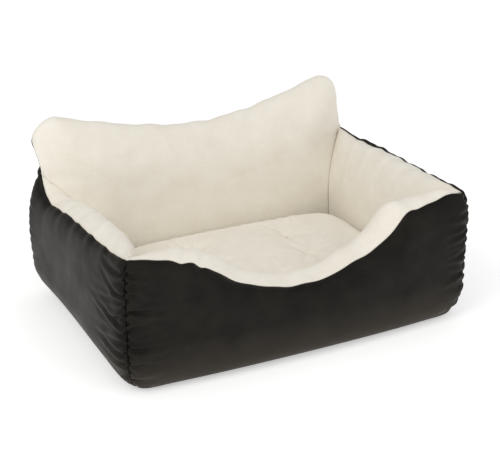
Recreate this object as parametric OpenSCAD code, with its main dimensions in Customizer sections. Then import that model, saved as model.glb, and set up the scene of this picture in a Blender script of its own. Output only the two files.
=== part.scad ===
// Pet cushion bed: four stuffed walls round a padded floor, a high eared back, a scooped
// front, and a loose tufted cushion with a zipped cover. Millimetres, +Z up, front at -Y,
// origin at the middle of the underside.

/* [Overall size] */
// Width over the stuffed side walls
bed_w = 600; // [480:10:700]
// Depth over the stuffed front and back walls
bed_d = 400; // [340:10:480]
// Height of the four corner seams
corner_h = 220; // [200:4:260]
// Thickness of each stuffed wall, measured inward from the corner seams
wall_t = 62; // [50:1:66]
// How far each wall swells outward between its corner seams
wall_bulge = 8; // [4:1:12]

/* [Back rest] */
// Height of the two ears
ear_h = 326; // [300:2:350]
// Height of the back between the ears
back_h = 277; // [266:1:296]
// Distance from the middle to the tip of an ear, as a share of the half width
ear_place = 0.87; // [0.8:0.01:0.9]

/* [Front and sides] */
// Height of the rim at the lowest point of the front scoop
scoop_h = 122; // [100:1:150]
// Half width of the flat part of the scoop
scoop_flat = 85; // [60:1:100]
// Width of each slope beside it
scoop_slope = 175; // [140:1:185]
// How far the side rims sag between their corners
side_sag = 15; // [6:1:24]

/* [Fabric] */
// Thickness of the smooth outer fabric with its backing
outer_t = 2; // [1.5:0.1:2.5]
// Thickness of the plush lining with its pile
plush_t = 4; // [3:0.1:5]
// Thickness of the non-slip base sheet
sheet_t = 1.6; // [1:0.1:2]
// Thickness of the wadding in the floor
floor_pad_t = 10; // [6:1:14]
// Radius of the sewing thread
thread_r = 0.6; // [0.4:0.1:0.8]

/* [Cushion] */
// Height of the crown of the cushion above its underside
cushion_t = 85; // [70:1:90]
// Height of the flat band at the cushion's edge
band_h = 24; // [22:1:30]
// Corner radius of the cushion
cushion_r = 62; // [40:1:80]
// Distance of the tufts from the middle, across the bed
tuft_x = 92; // [60:1:120]
// Distance of the tufts from the middle, front to back
tuft_y = 42; // [30:1:60]

/* [Zip] */
// Length of the zip chain
zip_l = 260; // [200:10:300]
// Spacing of the zip teeth
tooth_pitch = 4; // [3:0.5:5]

/* [Hidden] */
$fn = 32;

outer_colour = [0.13, 0.12, 0.11];
plush_colour = [0.93, 0.90, 0.84];
fibre_colour = [0.96, 0.96, 0.95];
metal_colour = [0.55, 0.55, 0.57];

// Plan half sizes at the corner seams
half_w = bed_w / 2 - wall_bulge;
half_d = bed_d / 2 - wall_bulge;
// Free gap between two layers, so that no solids share space
layer_gap = 0.3;
filling_gap = 0.4;
seam_t = outer_t + plush_t + layer_gap;
// The walls stand on the base sheet
wall_z = sheet_t + 0.4;
base_round = 30;       // height of the rounded lower edge of a wall
base_tuck = 18;        // how far that edge turns in under the wall
crown_reach = 75;      // distance below the rim over which a wall fills out to its thickness
rim_in_corner = 6;     // rim seam, measured inward from the corner seams, at a corner
rim_in_middle = 22;    // and between two corners
foot_in = 10;          // the inner face draws back this much at floor level
foot_h = 80;           // and reaches its full depth at this height
ear_round = 1 - ear_place;
ear_bow = 1.8;         // how hollow the back's rim is between the ears
ear_spread = 30;       // height over which the back spreads over the ends of the side walls

// ---------- small helpers ----------
function clamp(v) = min(1, max(0, v));
function smooth(v) = let (c = clamp(v)) c * c * (3 - 2 * c);
function quarter(v) = sqrt(1 - pow(1 - clamp(v), 2));

// ---------- rim heights along a wall, s from -1 to 1 between the corner seams ----------
function front_rim(s) =
    let (x = abs(s) * half_w,
         slope = 1 - smooth((x - scoop_flat) / scoop_slope),
         dish = max(0, 1 - pow(x / (scoop_flat + scoop_slope), 2)))
    corner_h - (corner_h - scoop_h) * (0.8 * slope + 0.2 * dish);

function side_rim(s) = corner_h - side_sag * (1 - pow(abs(s), 2.5));

function back_rim(s) =
    let (a = abs(s))
    a <= ear_place
        ? back_h + (ear_h - back_h) * pow(a / ear_place, ear_bow)
        : ear_h - ear_round * half_w * (1 - sqrt(max(0, 1 - pow((a - ear_place) / ear_round, 2))));

function rim(kind, s) = kind == "front" ? front_rim(s) : kind == "back" ? back_rim(s) : side_rim(s);
function length_half(kind) = (kind == "front" || kind == "back") ? half_w : half_d;

// ---------- depth of a wall's two faces, measured inward from the corner seams ----------
// Distance to the free edge of the wall: the rim above, and an ear's side above the corners
function edge_distance(kind, s, z) =
    let (below = rim(kind, s) - z)
    kind == "back" ? min(below, (1 - abs(s)) * half_w + max(0, corner_h - z)) : below;

function fullness(kind, s, z) = quarter(edge_distance(kind, s, z) / crown_reach);
function rim_in(s) = rim_in_corner + (rim_in_middle - rim_in_corner) * (1 - pow(s, 4));
function tuck(z) = 1 - quarter((z - wall_z) / base_round);
function swell(s) = wall_bulge * (1 - s * s);

function outer_in(kind, s, z) =
    let (f = fullness(kind, s, z))
    rim_in(s) * (1 - f) - swell(s) * f + tuck(z) * (base_tuck + swell(s));

function inner_in(kind, s, z) =
    let (f = fullness(kind, s, z), full = wall_t - foot_in * pow(1 - clamp(z / foot_h), 2))
    (rim_in(s) + seam_t) * (1 - f) + full * f;

// A wall's ends are mitred up to the corner height; the back's ears then spread to full width
function mitre(kind, z) = kind == "back" ? 1 - smooth((z - corner_h) / ear_spread) : 1;

// ---------- one layer of a wall: a closed grid of points between two depths ----------
front_stations = [0, 0.17, 0.32, 0.43, 0.54, 0.64, 0.74, 0.86, 0.96, 1];
side_stations = [0, 0.3, 0.6, 0.82, 0.95, 1];
back_stations = [0, 0.25, 0.5, 0.7, 0.82, 0.9, 0.95, 0.98, 1];
// Rows up a wall, as shares of its height
rows = [0, 0.02, 0.05, 0.12, 0.28, 0.45, 0.6, 0.73, 0.84, 0.92, 0.97, 1];
// The back's rows: shares of the corner height, then shares of the rest
back_low_rows = [0, 0.02, 0.05, 0.12, 0.28, 0.45, 0.62, 0.8, 0.92, 1];
back_high_rows = [0.17, 0.36, 0.56, 0.74, 0.88, 0.96, 1];

function mirrored(list) = concat([for (i = [len(list) - 1 : -1 : 1]) -list[i]], list);
function inner_part(list, low, high) = [for (i = [low : len(list) - 1 - high]) list[i]];
function stations(kind) = mirrored(
    kind == "front" ? front_stations : kind == "back" ? back_stations : side_stations
);
function row_heights(kind, s) =
    let (top = rim(kind, s))
    kind == "back"
        ? concat([for (k = back_low_rows) wall_z + (corner_h - wall_z) * k],
                 [for (k = back_high_rows) corner_h + (top - corner_h) * k])
        : [for (k = rows) wall_z + (top - wall_z) * k];

// Inward depth of a layer's outer face (0) or inner face (1)
function depth(kind, layer, face, s, z) =
    let (o = outer_in(kind, s, z), i = inner_in(kind, s, z))
    layer == "outer" ? o + face * outer_t
    : layer == "lining" ? i - (1 - face) * plush_t
    : face == 0 ? o + outer_t + filling_gap : i - plush_t - filling_gap;

function wall_point(kind, s, z, u) =
    [s * (length_half(kind) - u * mitre(kind, z) - layer_gap / 2), u, z];

// Faces of the closed solid between the two sides of a grid with nx by nz cells
function grid_faces(nx, nz) =
    let (row = nz + 1, sheet = (nx + 1) * row)
    concat(
        [for (i = [0 : nx - 1]) for (j = [0 : nz - 1])
            let (a = i * row + j, b = a + row)
            each [[a, a + 1, b + 1], [a, b + 1, b]]],
        [for (i = [0 : nx - 1]) for (j = [0 : nz - 1])
            let (a = sheet + i * row + j, b = a + row)
            each [[a, b + 1, a + 1], [a, b, b + 1]]],
        [for (i = [0 : nx - 1]) for (j = [0, nz])
            let (a = i * row + j, b = a + row, c = a + sheet, d = b + sheet)
            each j == 0 ? [[a, b, d], [a, d, c]] : [[a, d, b], [a, c, d]]],
        [for (j = [0 : nz - 1]) for (i = [0, nx])
            let (a = i * row + j, b = a + 1, c = a + sheet, d = b + sheet)
            each i == 0 ? [[a, d, b], [a, c, d]] : [[a, b, d], [a, d, c]]]
    );

// The filling stops one row and one station short of the seams
module wall_layer(kind, layer) {
    cut = layer == "filling" ? 1 : 0;
    along = inner_part(stations(kind), cut, cut);
    points = [for (face = [0, 1]) for (s = along)
        let (heights = inner_part(row_heights(kind, s), 0, cut))
        each [for (z = heights) wall_point(kind, s, z, depth(kind, layer, face, s, z))]];
    nz = len(points) / (2 * len(along)) - 1;
    polyhedron(points, grid_faces(len(along) - 1, nz), convexity = 8);
}

// Each wall is drawn along X with depth along +Y, then set on its side of the bed
module place_wall(kind) {
    if (kind == "front") translate([0, -half_d, 0]) children();
    if (kind == "back") translate([0, half_d, 0]) rotate([0, 0, 180]) children();
    if (kind == "left") translate([-half_w, 0, 0]) rotate([0, 0, -90]) children();
    if (kind == "right") translate([half_w, 0, 0]) rotate([0, 0, 90]) children();
}

module outer_panel(kind) {
    color(outer_colour) place_wall(kind) wall_layer(kind, "outer");
}

module wall_lining(kind) {
    color(plush_colour) place_wall(kind) wall_layer(kind, "lining");
}

module wall_filling(kind) {
    color(fibre_colour) place_wall(kind) wall_layer(kind, "filling");
}

// ---------- floor ----------
module rounded_slab(half_x, half_y, r, t) {
    linear_extrude(t) {
        square([2 * half_x - 2 * r, 2 * half_y], center = true);
        square([2 * half_x, 2 * half_y - 2 * r], center = true);
        for (x = [-1, 1], y = [-1, 1]) translate([x * (half_x - r), y * (half_y - r)]) circle(r);
    }
}

floor_edge = foot_in - 4;
floor_half_w = half_w - wall_t + floor_edge;
floor_half_d = half_d - wall_t + floor_edge;
floor_r = 12;
base_half_w = half_w - base_tuck;
base_half_d = half_d - base_tuck;
base_r = 6;
lining_z = wall_z + floor_pad_t + layer_gap;
floor_lining_t = 2;

module base_sheet() {
    color(outer_colour) rounded_slab(base_half_w, base_half_d, base_r, sheet_t);
}

module base_pad() {
    color(fibre_colour) translate([0, 0, wall_z])
        rounded_slab(floor_half_w, floor_half_d, floor_r, floor_pad_t);
}

module floor_lining() {
    color(plush_colour) translate([0, 0, lining_z])
        rounded_slab(floor_half_w, floor_half_d, floor_r, floor_lining_t);
}

// ---------- sewing threads ----------
thread_sides = 6;
thread_off = thread_r + 0.3;

// A tube of thread through a list of points that never run along the vector across;
// a closed one joins its end to its start
module thread(path, r, across, closed = false) {
    n = len(path);
    last = closed ? n : n - 1;
    rings = [for (i = [0 : n - 1])
        let (before = closed ? path[(i + n - 1) % n] : path[max(0, i - 1)],
             after = closed ? path[(i + 1) % n] : path[min(n - 1, i + 1)],
             along = (after - before) / norm(after - before),
             side = cross(along, across) / norm(cross(along, across)),
             up = cross(side, along))
        each [for (j = [0 : thread_sides - 1])
            let (a = 360 * j / thread_sides)
            path[i] + r * (cos(a) * side + sin(a) * up)]];
    around = [for (i = [0 : last - 1]) for (j = [0 : thread_sides - 1])
        let (a = i * thread_sides + j,
             b = i * thread_sides + (j + 1) % thread_sides,
             c = ((i + 1) % n) * thread_sides + j,
             d = ((i + 1) % n) * thread_sides + (j + 1) % thread_sides)
        each [[a, d, c], [a, b, d]]];
    caps = closed ? [] : [
        [for (j = [thread_sides - 1 : -1 : 0]) j],
        [for (j = [0 : thread_sides - 1]) (n - 1) * thread_sides + j]
    ];
    polyhedron(rings, concat(around, caps), convexity = 8);
}

// Corner seams: up the mitred outer edge of each corner, just outside the panels
module corner_seam_threads() {
    color(outer_colour)
    for (sx = [-1, 1], sy = [-1, 1]) {
        path = [for (k = rows)
            let (z = wall_z + 2 + (corner_h - wall_z - 8) * k,
                 u = outer_in("front", 1, z) - thread_off)
            [sx * (half_w - u), sy * (half_d - u), z]];
        thread(path, thread_r, [sx, -sy, 0]);
    }
}

// Rim seams: along the top of each wall, where outer fabric and lining are sewn together
rim_off = 0.4;
rim_share = 0.985;     // how far towards the corners a rim seam is sewn
module rim_thread(kind) {
    path = [for (s = stations(kind) * rim_share)
        let (z = rim(kind, s), u = rim_in(s) + seam_t / 2)
        wall_point(kind, s, z, u) + [0, 0, thread_off + rim_off]];
    thread(path, thread_r, [0, 1, 0]);
}

module rim_seam_threads() {
    color(plush_colour)
    for (kind = ["front", "left", "right", "back"]) place_wall(kind) rim_thread(kind);
}

function rounded_ring(half_x, half_y, r, z, n = 6) = [
    for (q = [0 : 3]) for (i = [0 : n - 1])
        let (a = 90 * q + 90 * i / (n - 1),
             cx = (q == 0 || q == 3 ? 1 : -1) * (half_x - r),
             cy = (q < 2 ? 1 : -1) * (half_y - r))
        [cx + r * cos(a), cy + r * sin(a), z]
];

module base_seam_thread() {
    color(outer_colour)
    thread(rounded_ring(base_half_w + thread_off, base_half_d + thread_off, base_r + thread_off,
                        sheet_t / 2 + 0.1), thread_r - 0.1, [0, 0, 1], closed = true);
}

// ---------- cushion ----------
cushion_z = lining_z + floor_lining_t + layer_gap;
cushion_clear = 3;
cushion_half_w = half_w - wall_t - cushion_clear;
cushion_front = -(half_d - wall_t - cushion_clear + 0.4);
cushion_back = half_d - wall_t - cushion_clear - 4.5;
cushion_half_d = (cushion_back - cushion_front) / 2;
cushion_y = (cushion_back + cushion_front) / 2;
cushion_top = cushion_z + cushion_t;
seam_z = cushion_z + 0.48 * cushion_t;
crown_w = 90;          // width of the rounded shoulder on top
sole_w = 30;           // width of the rounded edge below
cover_t = 3;
insets = [0, 4, 12, 25, 45, 70, 95, 116];
sole_insets = [0, 3, 9, 18, 30];

function crown_z(inset) =
    let (edge = seam_z + band_h / 2)
    edge + (cushion_top - edge) * quarter(inset / crown_w);
function sole_z(inset) =
    let (edge = seam_z - band_h / 2)
    edge - (edge - cushion_z) * quarter(inset / sole_w);

function cushion_ring(inset, z) =
    [for (p = rounded_ring(cushion_half_w - inset, cushion_half_d - inset,
                           max(cushion_r - 0.6 * inset, min(4, cushion_half_d - inset)), z))
        p + [0, cushion_y, 0]];

// Closed solid through a stack of rings with the same number of points
module ring_stack(rings) {
    n = len(rings[0]);
    faces = concat(
        [[for (j = [n - 1 : -1 : 0]) j]],
        [for (i = [0 : len(rings) - 2]) for (j = [0 : n - 1])
            let (a = i * n + j, b = i * n + (j + 1) % n)
            each [[a, b, b + n], [a, b + n, a + n]]],
        [[for (j = [0 : n - 1]) (len(rings) - 1) * n + j]]
    );
    polyhedron([for (ring = rings) each ring], faces, convexity = 6);
}

module cushion_top_cover() {
    last = len(insets) - 1;
    inside = [for (i = [last : -1 : 0]) cushion_ring(insets[i] + cover_t, crown_z(insets[i]) - cover_t)];
    outside = [for (i = [0 : last]) cushion_ring(insets[i], crown_z(insets[i]))];
    color(plush_colour)
    ring_stack(concat(inside, [cushion_ring(cover_t, seam_z + layer_gap / 2),
                               cushion_ring(0, seam_z + layer_gap / 2)], outside));
}

module cushion_bottom_cover() {
    last = len(sole_insets) - 1;
    outside = [for (i = [last : -1 : 0]) cushion_ring(sole_insets[i], sole_z(sole_insets[i]))];
    inside = [for (i = [0 : last]) cushion_ring(sole_insets[i] + cover_t, sole_z(sole_insets[i]) + cover_t)];
    color(outer_colour)
    ring_stack(concat(outside, [cushion_ring(0, seam_z - layer_gap / 2),
                                cushion_ring(cover_t, seam_z - layer_gap / 2)], inside));
}

module cushion_filling() {
    in = cover_t + filling_gap;
    below = [for (i = [len(sole_insets) - 1 : -1 : 0])
        cushion_ring(sole_insets[i] + in, sole_z(sole_insets[i]) + in)];
    above = [for (inset = insets) cushion_ring(inset + in, crown_z(inset) - in)];
    color(fibre_colour) ring_stack(concat(below, above));
}

module cushion_seam_thread() {
    ring = rounded_ring(cushion_half_w + thread_off, cushion_half_d + thread_off,
                        cushion_r + thread_off, seam_z, 10);
    zip_clear = zip_l / 2 + 16;
    half = len(ring) / 4;
    path = concat(
        [[-zip_clear, cushion_half_d + thread_off, seam_z]],
        [for (i = [half : len(ring) - 1]) ring[i]],
        [for (i = [0 : half - 1]) ring[i]],
        [[zip_clear, cushion_half_d + thread_off, seam_z]]
    );
    color(plush_colour) translate([0, cushion_y, 0]) thread(path, thread_r, [0, 0, 1]);
}

// Each tuft is a thread right through the cushion, with a knot above and below
tuft_r = 0.9;
knot_r = 3;
knot_t = 1.6;
module tuft_threads() {
    color(plush_colour)
    for (x = [-tuft_x, tuft_x], y = [-tuft_y, tuft_y]) translate([x, y, 0]) {
        translate([0, 0, cushion_z + 0.3]) cylinder(h = cushion_t - 2, r = tuft_r);
        translate([0, 0, cushion_z + 0.2]) cylinder(h = knot_t, r = knot_r);
        translate([0, 0, cushion_top - knot_t - 0.4]) cylinder(h = knot_t, r = knot_r);
    }
}

// ---------- zip along the back edge of the cushion ----------
tape_t = 0.8;
tape_h = 9;
tape_y = cushion_back + 0.2;
slot_h = 1.2;          // gap between the two rows, where the slider's post runs
tooth_h = 3.2;
tooth_t = 2;
tooth_y = tape_y + tape_t;
chain_half = slot_h / 2 + tooth_h;
lap = 1.1;             // the teeth lap this far on to their tape

module zip_tape(side) {
    near = chain_half - lap;
    color(outer_colour)
    translate([-zip_l / 2 - 12, tape_y, side > 0 ? seam_z + near : seam_z - near - tape_h])
        cube([zip_l + 24, tape_t, tape_h]);
}

module zip_tape_upper() zip_tape(1);
module zip_tape_lower() zip_tape(-1);

// A row is a cord along the tape with the teeth standing towards the other row
module zip_teeth(side) {
    cord_h = 1.3;
    count = floor(zip_l / tooth_pitch);
    color(metal_colour)
    translate([0, tooth_y, seam_z]) mirror([0, 0, side > 0 ? 0 : 1]) {
        translate([-zip_l / 2, 0, chain_half - cord_h]) cube([zip_l, tooth_t, cord_h]);
        for (i = [0 : count - 1])
            translate([-zip_l / 2 + (i + 0.25) * tooth_pitch, 0, slot_h / 2])
                cube([tooth_pitch / 2, tooth_t, tooth_h - cord_h + 0.1]);
    }
}

module zip_teeth_upper() zip_teeth(1);
module zip_teeth_lower() zip_teeth(-1);

stop_l = 4;
module zip_stops() {
    color(metal_colour)
    for (x = [-zip_l / 2 - stop_l - 0.3, zip_l / 2 + 0.3])
        translate([x, tooth_y + 0.05, seam_z - chain_half]) cube([stop_l, tooth_t, 2 * chain_half]);
}

// A slider with no pull tab: a front and a back plate on a post between the rows,
// and a flange over the outer edge of each row
slider_l = 11;
plate_t = 1;
post_t = 0.8;
slider_gap = 0.3;
slider_x = zip_l / 2 - slider_l - 1;
module zip_slider() {
    front_y = tooth_y + tooth_t + slider_gap;
    back_y = tape_y + 0.05;
    plate_half = chain_half + 1.2;
    back_half = chain_half - lap - slider_gap;
    corner_r = 2;
    flange_t = 0.7;
    color(metal_colour)
    translate([slider_x, 0, seam_z]) {
        hull() for (x = [corner_r, slider_l - corner_r], z = [-1, 1])
            translate([x, front_y, z * (plate_half - corner_r)])
                rotate([-90, 0, 0]) cylinder(h = plate_t, r = corner_r);
        translate([1.5, back_y + 0.1, -post_t / 2]) cube([slider_l - 3, front_y - back_y, post_t]);
        translate([0.5, back_y, -back_half]) cube([slider_l - 1, 0.55, 2 * back_half]);
        for (low = [-chain_half - slider_gap - flange_t, chain_half + slider_gap])
            translate([corner_r, front_y - 1.2, low]) cube([slider_l - 2 * corner_r, 1.4, flange_t]);
    }
}

base_sheet();
base_pad();
floor_lining();
outer_panel("front");  // front_outer_panel
outer_panel("left");  // left_outer_panel
outer_panel("right");  // right_outer_panel
outer_panel("back");  // back_outer_panel
wall_lining("front");  // front_lining
wall_lining("left");  // left_lining
wall_lining("right");  // right_lining
wall_lining("back");  // back_lining
wall_filling("front");  // front_filling
wall_filling("left");  // left_filling
wall_filling("right");  // right_filling
wall_filling("back");  // back_filling
corner_seam_threads();
rim_seam_threads();
base_seam_thread();
cushion_top_cover();
cushion_bottom_cover();
cushion_filling();
cushion_seam_thread();
tuft_threads();
zip_tape_upper();
zip_tape_lower();
zip_teeth_upper();
zip_teeth_lower();
zip_stops();
zip_slider();
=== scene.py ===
import math

import bpy
import numpy as np
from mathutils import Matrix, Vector


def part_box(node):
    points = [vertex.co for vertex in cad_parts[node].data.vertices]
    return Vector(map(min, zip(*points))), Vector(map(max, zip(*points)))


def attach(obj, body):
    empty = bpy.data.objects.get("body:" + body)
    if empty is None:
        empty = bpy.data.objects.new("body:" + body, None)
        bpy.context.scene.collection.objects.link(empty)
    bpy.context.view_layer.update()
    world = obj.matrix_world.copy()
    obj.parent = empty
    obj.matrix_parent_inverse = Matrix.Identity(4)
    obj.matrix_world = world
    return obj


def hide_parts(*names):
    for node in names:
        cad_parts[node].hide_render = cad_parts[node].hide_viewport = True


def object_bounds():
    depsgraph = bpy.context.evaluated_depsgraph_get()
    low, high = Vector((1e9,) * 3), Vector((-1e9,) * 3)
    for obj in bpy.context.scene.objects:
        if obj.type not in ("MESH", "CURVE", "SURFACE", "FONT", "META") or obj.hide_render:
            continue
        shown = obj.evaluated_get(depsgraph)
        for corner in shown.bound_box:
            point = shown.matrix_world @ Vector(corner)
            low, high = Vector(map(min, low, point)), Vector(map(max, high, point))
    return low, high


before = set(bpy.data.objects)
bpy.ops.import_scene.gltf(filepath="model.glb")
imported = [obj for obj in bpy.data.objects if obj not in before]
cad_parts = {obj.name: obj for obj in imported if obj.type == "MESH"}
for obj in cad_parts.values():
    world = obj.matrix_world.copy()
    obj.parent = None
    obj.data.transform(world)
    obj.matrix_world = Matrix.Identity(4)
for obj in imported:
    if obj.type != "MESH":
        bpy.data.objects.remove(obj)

# The visual model of a pet cushion bed. Its walls, cushion and floor are grids of points. Each
# starts as a computed surface, the walls and the cushion settle as cloth with spare length at
# their seams, and every sheet gets its thickness along its normals. Metres, +Z up, front at -Y.
# A wall's places s run from -1 to 1 between its two corner seams.

# ---------------------------------------------------------------- sizes of the frame
MM = 0.001
CAD_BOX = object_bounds()
FRONT_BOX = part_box("front_outer_panel")
SIDE_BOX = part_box("left_outer_panel")
BASE_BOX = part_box("base_sheet")
PAD_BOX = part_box("base_pad")
WELL_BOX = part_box("floor_lining")
TUFT_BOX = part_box("tuft_threads")
CUSHION_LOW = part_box("cushion_bottom_cover")[0]
CUSHION_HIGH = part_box("cushion_top_cover")[1]
SEAM_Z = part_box("cushion_top_cover")[0].z        # the seam round the cushion
ZIP_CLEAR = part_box("zip_tape_upper")[1].x + 3 * MM

# ---------------------------------------------------------------- walls
HALF_W = FRONT_BOX[1].x                          # plan half sizes at the corner seams
HALF_D = SIDE_BOX[1].y
CORNER_H = SIDE_BOX[1].z
WALL_Z = FRONT_BOX[0].z                          # the walls stand on the base sheet
WALL_T = 62 * MM

# The back's rim seam: in its middle and at the ears, where the right one is higher
BACK_H, EAR_H, EAR_SKEW = 266 * MM, 315 * MM, 4 * MM
EAR_PLACE, EAR_BOW = 0.86, 1.8                   # where an ear's tip begins, how hollow the rim is
BACK_LEAN = 9 * MM                               # the back leans left by this at corner height
EAR_LEAN, EAR_TILT, EAR_TURN = 15 * MM, 12 * MM, 90 * MM   # ears: left, back, over this height

# How far the other rim seams lie below the corners, in mm at places in mm along the wall
RIM_DROP = {
    "front": ((-292, 0), (-260, 4), (-240, 9), (-220, 14), (-206, 20), (-195, 20), (-186, 23),
              (-177, 32), (-167, 35), (-150, 46), (-128, 61), (-108, 71), (-87, 81), (-60, 89),
              (-25, 95), (10, 97), (39, 93), (60, 86), (82, 79), (104, 71), (125, 60), (147, 46),
              (158, 37), (169, 25), (179, 14), (188, 9), (200, 8), (215, 5), (235, 2),
              (258, -4), (275, -4), (292, 0)),
    # the sides from their front corner to their back one
    "left": ((-192, 0), (-160, 5), (-110, 9), (-60, 12), (0, 15), (50, 18), (105, 26), (145, 29),
             (172, 18), (192, 0)),
    "right": ((-192, -2), (-150, -1), (-90, 1), (-30, 1), (40, 2), (100, 6), (150, 5), (192, -2)),
}
RIM_WAVE = 1.0 * MM
RIM_IN, RIM_IN_FRONT, RIM_IN_BACK = -2 * MM, 3 * MM, 4 * MM    # rim seam: middle, corners

# Distance below the rim over which a face fills out
CROWN_OUT, CROWN_OUT_BACK = 45 * MM, 130 * MM    # the outer one, and at the back corners
CROWN_IN, CROWN_CORNER = 80 * MM, 100 * MM       # the inner one, and beside the corner seams
CORNER_FADE = 110 * MM                           # height over which the ears lose that

SWELL = {"front": 15 * MM, "left": 9 * MM, "right": 9 * MM, "back": 8 * MM}
SEAM_PINCH, SEAM_SHOULDER = 8 * MM, 20 * MM      # groove at the corner seams, and its width
CORNER_OUT_FRONT, CORNER_OUT_BACK = 2 * MM, 17 * MM
EAR_FLAT, EAR_FLAT_OVER, EAR_FLAT_OVER_END = 0.9, 95 * MM, 22 * MM   # the swell ends in the ears
EAR_SPREAD = 95 * MM                             # height over which the ears spread to full width

# The rounded lower edge: its height, and how far it turns in
BASE_ROUND = {"front": 34 * MM, "left": 58 * MM, "right": 50 * MM, "back": 50 * MM,
              "corner": 60 * MM}
BASE_TUCK = {"front": 6 * MM, "left": 24 * MM, "right": 20 * MM, "back": 20 * MM,
             "corner": 27 * MM}
FOLD_UNDER, FOLD_UNDER_H = 28 * MM, 8 * MM       # the outer cover ends under the base sheet's edge
FOOT_IN, FOOT_H = 10 * MM, 80 * MM               # the inner face draws back at floor level

# The lining rolls up over the rim seam, and on the right the outer cover does too
CREST = {"front": 19 * MM, "left": 22 * MM, "right": 16 * MM, "back": 22 * MM}
CREST_AT, SIDE_CREST = 12 * MM, 0.35             # distance from the seam, share on an ear's side
OUTER_CREST = {"front": 0, "left": 0, "right": 11 * MM, "back": 0}
OUTER_CREST_LEAST, OUTER_CREST_PLACE, OUTER_CREST_WIDTH = 0.35, 0.5, 0.3
EAR_SIDE = 1.3                                   # an ear's side counts as this much further off
CORNER_BAND, EAR_SIDE_RISE, CREST_RISE = 10 * MM, 40 * MM, 20 * MM

# ---------------------------------------------------------------- cloth
OUTER_T, PLUSH_T, FLOOR_LINING_T, BASE_T, TAPE_T = 1.6 * MM, 3.6 * MM, 1.9 * MM, 0.9 * MM, 0.7 * MM
FILL_GAP = 0.9 * MM                              # between a cover and its stuffing
FILL_END_GAP, FILL_TOP_GAP, FILL_GAP_REACH = 3 * MM, 1.5 * MM, 30 * MM
STEP = 3.2 * MM                                  # spacing of the cloth's grid
FINE_ROWS = 400                                  # rows that a wall's rows are picked from
RUN_SHARE = 1.5                                  # a face's longest run, as a share of its height
EVEN_STATIONS, EVEN_STATIONS_BACK = 0.6, 0.35
STEPS, SWEEPS = 130, 2                           # steps of a cloth, and passes over its threads
AIR, LIMIT, BEND = 0.015 * MM, 7 * MM, 0.03
DIAGONAL = 0.35                                  # stiffness of the diagonal threads
STREAK_WIDTH, STREAK_LENGTH, STREAK_LEAN = (2.2, 5.5), (0.35, 1.3), 0.35

# Beside a corner seam: depth of the first waves, spare length and reach
PUCKERS = {
    "front_left_end": (3.2 * MM, 0.50, 22 * MM),
    "front_right_end": (2.2 * MM, 0.30, 22 * MM),
    "left": (3.2 * MM, 0.50, 34 * MM),
    "right": (2.2 * MM, 0.30, 34 * MM),
    "back_corner": (0.4 * MM, 0.08, 22 * MM),
}
CORNER_STREAKS = 60
RIM_GATHER, RIM_GATHER_REACH = 0.08, 15 * MM     # spare length along the rim
BASE_GATHER, BASE_GATHER_REACH = 0.05, 20 * MM   # and along the base
RIM_RIPPLE, RIM_STREAKS, RIM_REACH = 0.45 * MM, 70, 16 * MM
LINING_SLACK, LINING_RIPPLE = 0.25, 0.35         # the plush puckers less

# ---------------------------------------------------------------- cushion
CUSHION_STEP, CUSHION_STEPS, CUSHION_LIMIT = 3.4 * MM, 110, 5 * MM
CUSHION_HALF_X = CUSHION_HIGH.x - 1 * MM
CUSHION_HALF_Y = (CUSHION_HIGH.y - CUSHION_LOW.y) / 2 - 0.6 * MM
CUSHION_Y = (CUSHION_HIGH.y + CUSHION_LOW.y) / 2
CUSHION_POWER = 5                                # of its rounded outline
CROWN_Z = CUSHION_HIGH.z + 6 * MM                # before the dips and the settling
SHOULDER_TOP, SHOULDER_BOTTOM = 36 * MM, 34 * MM
CROWN_DOME, CORNER_SINK = 0.07, 0.22             # shares of the height
BOTTOM_CLEAR = 0.3 * MM
TUFT_X, TUFT_Y = TUFT_BOX[1].x - 3 * MM, TUFT_BOX[1].y - 3 * MM
TUFTS = [(x, y) for x in (-TUFT_X, TUFT_X) for y in (-TUFT_Y, TUFT_Y)]
TUFT_DIP, BOTTOM_DIP, TUFT_HELD = 17 * MM, 0.25, 4 * MM
CUSHION_RIPPLE, CUSHION_STREAKS, CUSHION_REACH = 0.7 * MM, 120, 26 * MM
SPOKE_DEPTH, SPOKE_REACH = 1.0 * MM, 30 * MM     # creases that run out from a tuft
BOTTOM_RIPPLE = 0.4

# ---------------------------------------------------------------- floor, seams and zip
QUILT, QUILT_WIDTH = 91 * MM, 4.5 * MM           # sewn squares in the floor
LINING_DIP, PAD_DIP = 1.6 * MM, 2.2 * MM
DOT_PITCH, DOT_REACH_X, DOT_REACH_Y = 24 * MM, 252 * MM, 156 * MM
DOT_RINGS = ((2.2, 1.0), (2.0, 0.45), (1.5, 0.15), (0.8, 0.0))   # radius and height, in mm
DOT_SIDES = 12
STITCH, STITCH_GAP, STITCH_SIDES = 3.4 * MM, 1.1 * MM, 6
STITCH_RINGS = ((0.0, 0.35), (0.2, 0.95), (0.5, 1.0), (0.8, 0.95), (1.0, 0.35))
HEM_IN, HEM_Z = 5 * MM, 0.55 * MM
KNOT_R, KNOT_TURNS, KNOT_H = 2.2 * MM, 1.7, 1.3 * MM
TAPE_H, TAPE_CURL = 10.5 * MM, 3.0 * MM

# ---------------------------------------------------------------- view and light
TARGET = Vector((0, 0, 0.45 * CAD_BOX[1].z))
CAMERA_AT, LENS = (-26.3, 23.2, 2.0), 86         # azimuth, elevation and distance
WORLD_LIGHT = 0.6
FLOOR_GLOW = 0.42                                # an over-lit white sweep
FLOOR_HALF = 30


# ---------------------------------------------------------------- shape of the walls
def smooth(v):
    v = np.clip(v, 0, 1)
    return v * v * (3 - 2 * v)


def quarter(v):
    """A quarter circle from 0 to 1."""
    return np.sqrt(1 - (1 - np.clip(v, 0, 1)) ** 2)


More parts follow.
